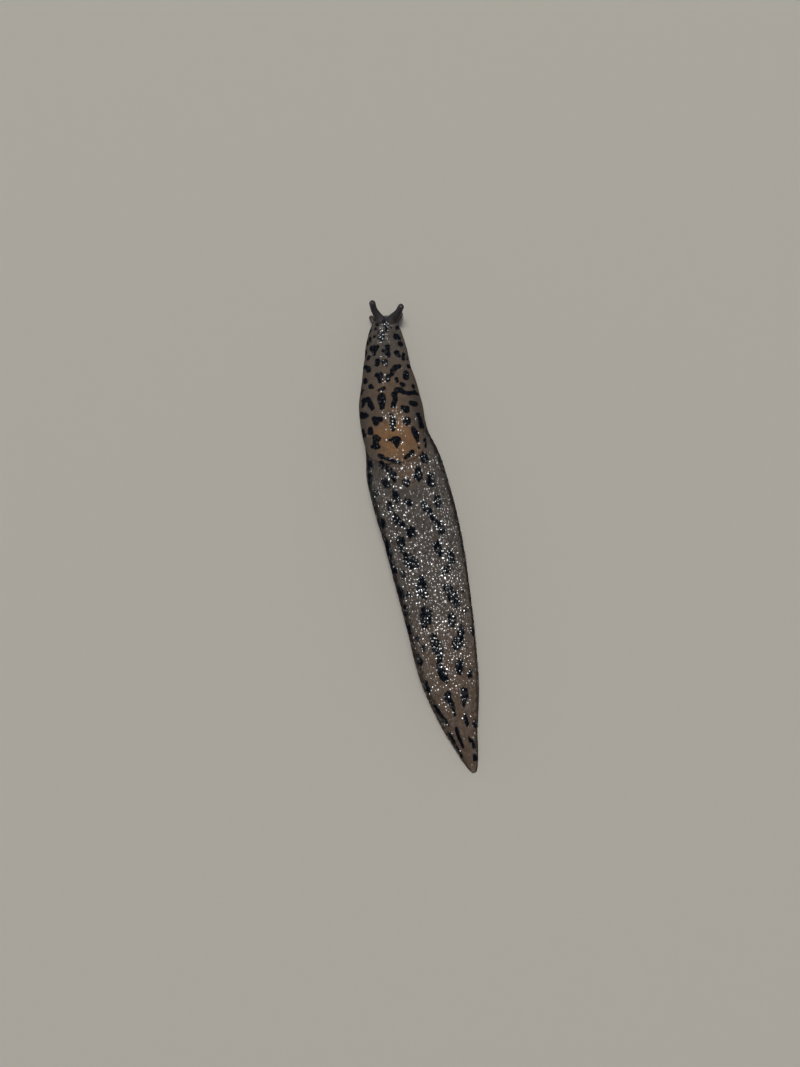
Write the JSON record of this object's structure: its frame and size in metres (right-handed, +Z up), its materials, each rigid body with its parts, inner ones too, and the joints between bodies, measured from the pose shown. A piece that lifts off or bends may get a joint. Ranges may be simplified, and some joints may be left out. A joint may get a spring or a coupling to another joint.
{
  "type": "leopard slug",
  "caption": "Spotted slug crawling flat on its foot, with a mantle shield behind the head, a keeled tapering tail, and eye tentacles and feelers held out.",
  "frame": {"origin": "on the floor below the middle of the whole slug's bounding box", "axes": "+Y from tail to head, +X to the animal's right side, +Z up"},
  "size_m": [0.0348, 0.1369, 0.0145],
  "materials": {
    "head_skin": "wet dark slug skin",
    "mantle_skin": "wet tan skin with black blotches",
    "back_skin": "wet grey brown skin, tubercled, with rows of black marks",
    "foot_skin": "wet pale sole",
    "tentacle_skin": "wet dark skin",
    "eye": "glossy black"
  },
  "bodies": {
    "root": {"head": "head_skin", "neck": "head_skin", "trunk": "back_skin", "mantle": "mantle_skin", "back_front": "back_skin", "back_middle": "back_skin", "back_rear": "back_skin", "tail": "back_skin", "foot_front": "foot_skin", "foot_middle": "foot_skin", "foot_rear": "foot_skin", "upper_tentacle_left": "tentacle_skin", "upper_tentacle_right": "tentacle_skin", "lower_tentacle_left": "tentacle_skin", "lower_tentacle_right": "tentacle_skin", "eye_left": "eye", "eye_right": "eye"}
  },
  "joints": []
}
